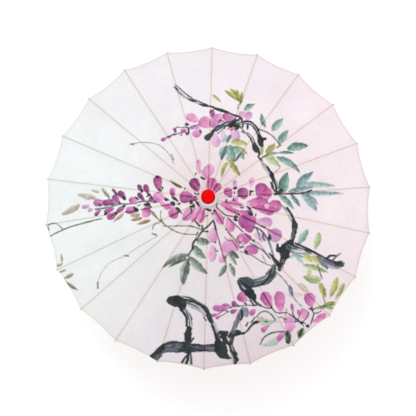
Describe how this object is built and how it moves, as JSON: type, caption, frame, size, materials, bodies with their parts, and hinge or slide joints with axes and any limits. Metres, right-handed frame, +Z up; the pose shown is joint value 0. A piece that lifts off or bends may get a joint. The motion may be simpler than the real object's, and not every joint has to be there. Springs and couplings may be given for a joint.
{
  "type": "oil paper umbrella",
  "caption": "Open painted paper umbrella with hinged bamboo ribs and struts, a sliding runner with a catch, a white collar, a red top knob and a turned grip.",
  "frame": {"origin": "on the shaft's axis, at the lowest face of the grip's end cap", "axes": "+Z up along the shaft towards the knob, +Y towards rib 1, +X to the right of it; ribs are numbered clockwise seen from above"},
  "size_m": [0.8328, 0.8408, 0.561],
  "materials": {
    "sheet": "thin pale pink and white treated sheet, painted by brush with wisteria, slightly glossy, lets some light through",
    "collar": "smooth white",
    "knob": "bright red, satin gloss",
    "turned_wood": "turned pale hardwood, oiled",
    "thread": "twisted waxed cotton cord",
    "shaft_wood": "straight-grained, varnished",
    "pin_wood": "split bamboo peg",
    "spring_steel": "spring steel strip and pin",
    "grip_wood": "turned dark hardwood, varnished",
    "ferrule": "plain brass ring",
    "lacquer": "red lacquer on wood",
    "rib_bamboo": "split bamboo, long fibres, oiled",
    "strut_bamboo": "split bamboo, long fibres"
  },
  "bodies": {
    "stick": {"canopy": "sheet", "cap_collar": "collar", "red_knob": "knob", "top_notch": "turned_wood", "notch_thread": "thread", "shaft": "shaft_wood", "stop_pin": "pin_wood", "catch_pin": "spring_steel", "grip": "grip_wood", "grip_ring": "ferrule", "end_cap": "lacquer"},
    "catch": {"catch_spring": "spring_steel"},
    "runner": {"runner": "turned_wood", "runner_thread": "thread"},
    "rib_01": {"rib_01": "rib_bamboo"},
    "strut_01": {"strut_01": "strut_bamboo"},
    "rib_02": {"rib_02": "rib_bamboo"},
    "strut_02": {"strut_02": "strut_bamboo"},
    "rib_03": {"rib_03": "rib_bamboo"},
    "strut_03": {"strut_03": "strut_bamboo"},
    "rib_04": {"rib_04": "rib_bamboo"},
    "strut_04": {"strut_04": "strut_bamboo"},
    "rib_05": {"rib_05": "rib_bamboo"},
    "strut_05": {"strut_05": "strut_bamboo"},
    "rib_06": {"rib_06": "rib_bamboo"},
    "strut_06": {"strut_06": "strut_bamboo"},
    "rib_07": {"rib_07": "rib_bamboo"},
    "strut_07": {"strut_07": "strut_bamboo"},
    "rib_08": {"rib_08": "rib_bamboo"},
    "strut_08": {"strut_08": "strut_bamboo"},
    "rib_09": {"rib_09": "rib_bamboo"},
    "strut_09": {"strut_09": "strut_bamboo"},
    "rib_10": {"rib_10": "rib_bamboo"},
    "strut_10": {"strut_10": "strut_bamboo"},
    "rib_11": {"rib_11": "rib_bamboo"},
    "strut_11": {"strut_11": "strut_bamboo"},
    "rib_12": {"rib_12": "rib_bamboo"},
    "strut_12": {"strut_12": "strut_bamboo"},
    "rib_13": {"rib_13": "rib_bamboo"},
    "strut_13": {"strut_13": "strut_bamboo"},
    "rib_14": {"rib_14": "rib_bamboo"},
    "strut_14": {"strut_14": "strut_bamboo"},
    "rib_15": {"rib_15": "rib_bamboo"},
    "strut_15": {"strut_15": "strut_bamboo"},
    "rib_16": {"rib_16": "rib_bamboo"},
    "strut_16": {"strut_16": "strut_bamboo"},
    "rib_17": {"rib_17": "rib_bamboo"},
    "strut_17": {"strut_17": "strut_bamboo"},
    "rib_18": {"rib_18": "rib_bamboo"},
    "strut_18": {"strut_18": "strut_bamboo"},
    "rib_19": {"rib_19": "rib_bamboo"},
    "strut_19": {"strut_19": "strut_bamboo"},
    "rib_20": {"rib_20": "rib_bamboo"},
    "strut_20": {"strut_20": "strut_bamboo"},
    "rib_21": {"rib_21": "rib_bamboo"},
    "strut_21": {"strut_21": "strut_bamboo"},
    "rib_22": {"rib_22": "rib_bamboo"},
    "strut_22": {"strut_22": "strut_bamboo"}
  },
  "joints": [
    {"name": "fold", "type": "hinge", "parent": "stick", "child": "rib_01", "pos_m": [0, 0.017, 0.52], "axis": [-1, 0, 0], "range_deg": [0, 70.5], "deforming": ["canopy", "catch_spring"]},
    {"name": "strut_01_hinge", "type": "hinge", "parent": "rib_01", "child": "strut_01", "pos_m": [0, 0.20876, 0.4632], "axis": [-1, 0, 0], "range_deg": [-141, 0]},
    {"name": "rib_02_hinge", "type": "hinge", "parent": "stick", "child": "rib_02", "pos_m": [0.00479, 0.01631, 0.52], "axis": [-0.9595, 0.2817, 0], "range_deg": [0, 70.5]},
    {"name": "strut_02_hinge", "type": "hinge", "parent": "rib_02", "child": "strut_02", "pos_m": [0.05882, 0.20031, 0.4632], "axis": [-0.9595, 0.2817, 0], "range_deg": [-141, 0]},
    {"name": "rib_03_hinge", "type": "hinge", "parent": "stick", "child": "rib_03", "pos_m": [0.00919, 0.0143, 0.52], "axis": [-0.8413, 0.5406, 0], "range_deg": [0, 70.5]},
    {"name": "strut_03_hinge", "type": "hinge", "parent": "rib_03", "child": "strut_03", "pos_m": [0.11287, 0.17562, 0.4632], "axis": [-0.8413, 0.5406, 0], "range_deg": [-141, 0]},
    {"name": "rib_04_hinge", "type": "hinge", "parent": "stick", "child": "rib_04", "pos_m": [0.01285, 0.01113, 0.52], "axis": [-0.6549, 0.7557, 0], "range_deg": [0, 70.5]},
    {"name": "strut_04_hinge", "type": "hinge", "parent": "rib_04", "child": "strut_04", "pos_m": [0.15777, 0.13671, 0.4632], "axis": [-0.6549, 0.7557, 0], "range_deg": [-141, 0]},
    {"name": "rib_05_hinge", "type": "hinge", "parent": "stick", "child": "rib_05", "pos_m": [0.01546, 0.00706, 0.52], "axis": [-0.4154, 0.9096, 0], "range_deg": [0, 70.5]},
    {"name": "strut_05_hinge", "type": "hinge", "parent": "rib_05", "child": "strut_05", "pos_m": [0.1899, 0.08672, 0.4632], "axis": [-0.4154, 0.9096, 0], "range_deg": [-141, 0]},
    {"name": "rib_06_hinge", "type": "hinge", "parent": "stick", "child": "rib_06", "pos_m": [0.01683, 0.00242, 0.52], "axis": [-0.1423, 0.9898, 0], "range_deg": [0, 70.5]},
    {"name": "strut_06_hinge", "type": "hinge", "parent": "rib_06", "child": "strut_06", "pos_m": [0.20664, 0.02971, 0.4632], "axis": [-0.1423, 0.9898, 0], "range_deg": [-141, 0]},
    {"name": "rib_07_hinge", "type": "hinge", "parent": "stick", "child": "rib_07", "pos_m": [0.01683, -0.00242, 0.52], "axis": [0.1423, 0.9898, 0], "range_deg": [0, 70.5]},
    {"name": "strut_07_hinge", "type": "hinge", "parent": "rib_07", "child": "strut_07", "pos_m": [0.20664, -0.02971, 0.4632], "axis": [0.1423, 0.9898, 0], "range_deg": [-141, 0]},
    {"name": "rib_08_hinge", "type": "hinge", "parent": "stick", "child": "rib_08", "pos_m": [0.01546, -0.00706, 0.52], "axis": [0.4154, 0.9096, 0], "range_deg": [0, 70.5]},
    {"name": "strut_08_hinge", "type": "hinge", "parent": "rib_08", "child": "strut_08", "pos_m": [0.1899, -0.08672, 0.4632], "axis": [0.4154, 0.9096, 0], "range_deg": [-141, 0]},
    {"name": "rib_09_hinge", "type": "hinge", "parent": "stick", "child": "rib_09", "pos_m": [0.01285, -0.01113, 0.52], "axis": [0.6549, 0.7557, 0], "range_deg": [0, 70.5]},
    {"name": "strut_09_hinge", "type": "hinge", "parent": "rib_09", "child": "strut_09", "pos_m": [0.15777, -0.13671, 0.4632], "axis": [0.6549, 0.7557, 0], "range_deg": [-141, 0]},
    {"name": "rib_10_hinge", "type": "hinge", "parent": "stick", "child": "rib_10", "pos_m": [0.00919, -0.0143, 0.52], "axis": [0.8413, 0.5406, 0], "range_deg": [0, 70.5]},
    {"name": "strut_10_hinge", "type": "hinge", "parent": "rib_10", "child": "strut_10", "pos_m": [0.11287, -0.17562, 0.4632], "axis": [0.8413, 0.5406, 0], "range_deg": [-141, 0]},
    {"name": "rib_11_hinge", "type": "hinge", "parent": "stick", "child": "rib_11", "pos_m": [0.00479, -0.01631, 0.52], "axis": [0.9595, 0.2817, 0], "range_deg": [0, 70.5]},
    {"name": "strut_11_hinge", "type": "hinge", "parent": "rib_11", "child": "strut_11", "pos_m": [0.05882, -0.20031, 0.4632], "axis": [0.9595, 0.2817, 0], "range_deg": [-141, 0]},
    {"name": "rib_12_hinge", "type": "hinge", "parent": "stick", "child": "rib_12", "pos_m": [0, -0.017, 0.52], "axis": [1, 0, 0], "range_deg": [0, 70.5]},
    {"name": "strut_12_hinge", "type": "hinge", "parent": "rib_12", "child": "strut_12", "pos_m": [0, -0.20876, 0.4632], "axis": [1, 0, 0], "range_deg": [-141, 0]},
    {"name": "rib_13_hinge", "type": "hinge", "parent": "stick", "child": "rib_13", "pos_m": [-0.00479, -0.01631, 0.52], "axis": [0.9595, -0.2817, 0], "range_deg": [0, 70.5]},
    {"name": "strut_13_hinge", "type": "hinge", "parent": "rib_13", "child": "strut_13", "pos_m": [-0.05882, -0.20031, 0.4632], "axis": [0.9595, -0.2817, 0], "range_deg": [-141, 0]},
    {"name": "rib_14_hinge", "type": "hinge", "parent": "stick", "child": "rib_14", "pos_m": [-0.00919, -0.0143, 0.52], "axis": [0.8413, -0.5406, 0], "range_deg": [0, 70.5]},
    {"name": "strut_14_hinge", "type": "hinge", "parent": "rib_14", "child": "strut_14", "pos_m": [-0.11287, -0.17562, 0.4632], "axis": [0.8413, -0.5406, 0], "range_deg": [-141, 0]},
    {"name": "rib_15_hinge", "type": "hinge", "parent": "stick", "child": "rib_15", "pos_m": [-0.01285, -0.01113, 0.52], "axis": [0.6549, -0.7557, 0], "range_deg": [0, 70.5]},
    {"name": "strut_15_hinge", "type": "hinge", "parent": "rib_15", "child": "strut_15", "pos_m": [-0.15777, -0.13671, 0.4632], "axis": [0.6549, -0.7557, 0], "range_deg": [-141, 0]},
    {"name": "rib_16_hinge", "type": "hinge", "parent": "stick", "child": "rib_16", "pos_m": [-0.01546, -0.00706, 0.52], "axis": [0.4154, -0.9096, 0], "range_deg": [0, 70.5]},
    {"name": "strut_16_hinge", "type": "hinge", "parent": "rib_16", "child": "strut_16", "pos_m": [-0.1899, -0.08672, 0.4632], "axis": [0.4154, -0.9096, 0], "range_deg": [-141, 0]},
    {"name": "rib_17_hinge", "type": "hinge", "parent": "stick", "child": "rib_17", "pos_m": [-0.01683, -0.00242, 0.52], "axis": [0.1423, -0.9898, 0], "range_deg": [0, 70.5]},
    {"name": "strut_17_hinge", "type": "hinge", "parent": "rib_17", "child": "strut_17", "pos_m": [-0.20664, -0.02971, 0.4632], "axis": [0.1423, -0.9898, 0], "range_deg": [-141, 0]},
    {"name": "rib_18_hinge", "type": "hinge", "parent": "stick", "child": "rib_18", "pos_m": [-0.01683, 0.00242, 0.52], "axis": [-0.1423, -0.9898, 0], "range_deg": [0, 70.5]},
    {"name": "strut_18_hinge", "type": "hinge", "parent": "rib_18", "child": "strut_18", "pos_m": [-0.20664, 0.02971, 0.4632], "axis": [-0.1423, -0.9898, 0], "range_deg": [-141, 0]},
    {"name": "rib_19_hinge", "type": "hinge", "parent": "stick", "child": "rib_19", "pos_m": [-0.01546, 0.00706, 0.52], "axis": [-0.4154, -0.9096, 0], "range_deg": [0, 70.5]},
    {"name": "strut_19_hinge", "type": "hinge", "parent": "rib_19", "child": "strut_19", "pos_m": [-0.1899, 0.08672, 0.4632], "axis": [-0.4154, -0.9096, 0], "range_deg": [-141, 0]},
    {"name": "rib_20_hinge", "type": "hinge", "parent": "stick", "child": "rib_20", "pos_m": [-0.01285, 0.01113, 0.52], "axis": [-0.6549, -0.7557, 0], "range_deg": [0, 70.5]},
    {"name": "strut_20_hinge", "type": "hinge", "parent": "rib_20", "child": "strut_20", "pos_m": [-0.15777, 0.13671, 0.4632], "axis": [-0.6549, -0.7557, 0], "range_deg": [-141, 0]},
    {"name": "rib_21_hinge", "type": "hinge", "parent": "stick", "child": "rib_21", "pos_m": [-0.00919, 0.0143, 0.52], "axis": [-0.8413, -0.5406, 0], "range_deg": [0, 70.5]},
    {"name": "strut_21_hinge", "type": "hinge", "parent": "rib_21", "child": "strut_21", "pos_m": [-0.11287, 0.17562, 0.4632], "axis": [-0.8413, -0.5406, 0], "range_deg": [-141, 0]},
    {"name": "rib_22_hinge", "type": "hinge", "parent": "stick", "child": "rib_22", "pos_m": [-0.00479, 0.01631, 0.52], "axis": [-0.9595, -0.2817, 0], "range_deg": [0, 70.5]},
    {"name": "strut_22_hinge", "type": "hinge", "parent": "rib_22", "child": "strut_22", "pos_m": [-0.05882, 0.20031, 0.4632], "axis": [-0.9595, -0.2817, 0], "range_deg": [-141, 0]},
    {"name": "runner_hinge", "type": "hinge", "parent": "strut_01", "child": "runner", "pos_m": [0, 0.017, 0.40639], "axis": [-1, 0, 0], "range_deg": [0, 70.5]},
    {"name": "catch_press", "type": "hinge", "parent": "stick", "child": "catch", "pos_m": [0, 0.0045, 0.33179], "axis": [1, 0, 0], "range_deg": [0, 4], "stiffness_Nm_per_rad": 0.5}
  ],
  "couplings": [
    {"joint": "strut_01_hinge", "follows": "fold", "ratio": -2},
    {"joint": "rib_02_hinge", "follows": "fold", "ratio": 1},
    {"joint": "strut_02_hinge", "follows": "fold", "ratio": -2},
    {"joint": "rib_03_hinge", "follows": "fold", "ratio": 1},
    {"joint": "strut_03_hinge", "follows": "fold", "ratio": -2},
    {"joint": "rib_04_hinge", "follows": "fold", "ratio": 1},
    {"joint": "strut_04_hinge", "follows": "fold", "ratio": -2},
    {"joint": "rib_05_hinge", "follows": "fold", "ratio": 1},
    {"joint": "strut_05_hinge", "follows": "fold", "ratio": -2},
    {"joint": "rib_06_hinge", "follows": "fold", "ratio": 1},
    {"joint": "strut_06_hinge", "follows": "fold", "ratio": -2},
    {"joint": "rib_07_hinge", "follows": "fold", "ratio": 1},
    {"joint": "strut_07_hinge", "follows": "fold", "ratio": -2},
    {"joint": "rib_08_hinge", "follows": "fold", "ratio": 1},
    {"joint": "strut_08_hinge", "follows": "fold", "ratio": -2},
    {"joint": "rib_09_hinge", "follows": "fold", "ratio": 1},
    {"joint": "strut_09_hinge", "follows": "fold", "ratio": -2},
    {"joint": "rib_10_hinge", "follows": "fold", "ratio": 1},
    {"joint": "strut_10_hinge", "follows": "fold", "ratio": -2},
    {"joint": "rib_11_hinge", "follows": "fold", "ratio": 1},
    {"joint": "strut_11_hinge", "follows": "fold", "ratio": -2},
    {"joint": "rib_12_hinge", "follows": "fold", "ratio": 1},
    {"joint": "strut_12_hinge", "follows": "fold", "ratio": -2},
    {"joint": "rib_13_hinge", "follows": "fold", "ratio": 1},
    {"joint": "strut_13_hinge", "follows": "fold", "ratio": -2},
    {"joint": "rib_14_hinge", "follows": "fold", "ratio": 1},
    {"joint": "strut_14_hinge", "follows": "fold", "ratio": -2},
    {"joint": "rib_15_hinge", "follows": "fold", "ratio": 1},
    {"joint": "strut_15_hinge", "follows": "fold", "ratio": -2},
    {"joint": "rib_16_hinge", "follows": "fold", "ratio": 1},
    {"joint": "strut_16_hinge", "follows": "fold", "ratio": -2},
    {"joint": "rib_17_hinge", "follows": "fold", "ratio": 1},
    {"joint": "strut_17_hinge", "follows": "fold", "ratio": -2},
    {"joint": "rib_18_hinge", "follows": "fold", "ratio": 1},
    {"joint": "strut_18_hinge", "follows": "fold", "ratio": -2},
    {"joint": "rib_19_hinge", "follows": "fold", "ratio": 1},
    {"joint": "strut_19_hinge", "follows": "fold", "ratio": -2},
    {"joint": "rib_20_hinge", "follows": "fold", "ratio": 1},
    {"joint": "strut_20_hinge", "follows": "fold", "ratio": -2},
    {"joint": "rib_21_hinge", "follows": "fold", "ratio": 1},
    {"joint": "strut_21_hinge", "follows": "fold", "ratio": -2},
    {"joint": "rib_22_hinge", "follows": "fold", "ratio": 1},
    {"joint": "strut_22_hinge", "follows": "fold", "ratio": -2},
    {"joint": "runner_hinge", "follows": "fold", "ratio": 1}
  ]
}
